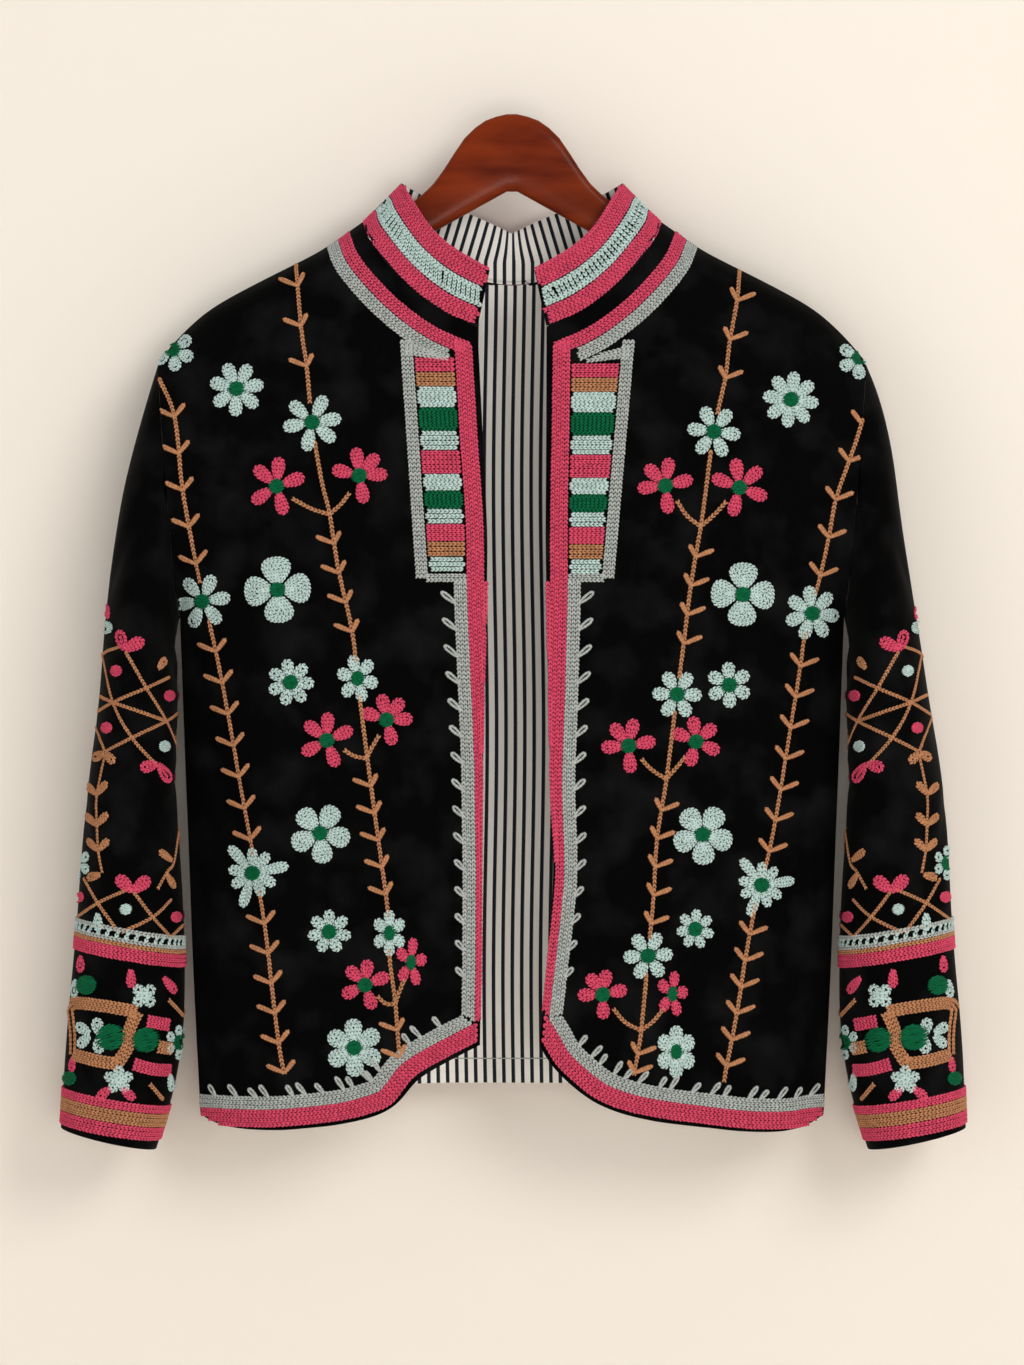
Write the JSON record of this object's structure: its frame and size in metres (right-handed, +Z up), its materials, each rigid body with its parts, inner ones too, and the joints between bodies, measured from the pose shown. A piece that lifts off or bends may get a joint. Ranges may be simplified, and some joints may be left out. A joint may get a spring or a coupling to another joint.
{
  "type": "embroidered velvet jacket on a wooden hanger",
  "caption": "Short open-front velvet jacket with standing collar, long sleeves, floral embroidery and striped lining, hanging on a shaped wooden hanger.",
  "frame": {"origin": "top centre of the hanger's crown, where it hangs", "axes": "+Z up, the jacket's height; +Y to the back, its thinnest way; +X to the viewer's right"},
  "size_m": [0.688, 0.1133, 0.7864],
  "materials": {
    "velvet": "black cotton velvet with a short soft nap",
    "lining": "off-white cotton with upright dark navy stripes",
    "wood": "red-brown stained and varnished wood",
    "pink_yarn": "pink cotton chain stitch",
    "aqua_yarn": "pale aqua cotton chain stitch",
    "grey_yarn": "grey-green cotton chain stitch",
    "tan_yarn": "tan cotton chain stitch",
    "green_yarn": "green cotton satin stitch"
  },
  "bodies": {
    "root": {"hanger": "wood", "front_left": "velvet", "front_right": "velvet", "back": "velvet", "back_lining": "lining", "collar": "velvet", "collar_lining": "lining", "sleeve_left": "velvet", "sleeve_right": "velvet"}
  },
  "joints": []
}
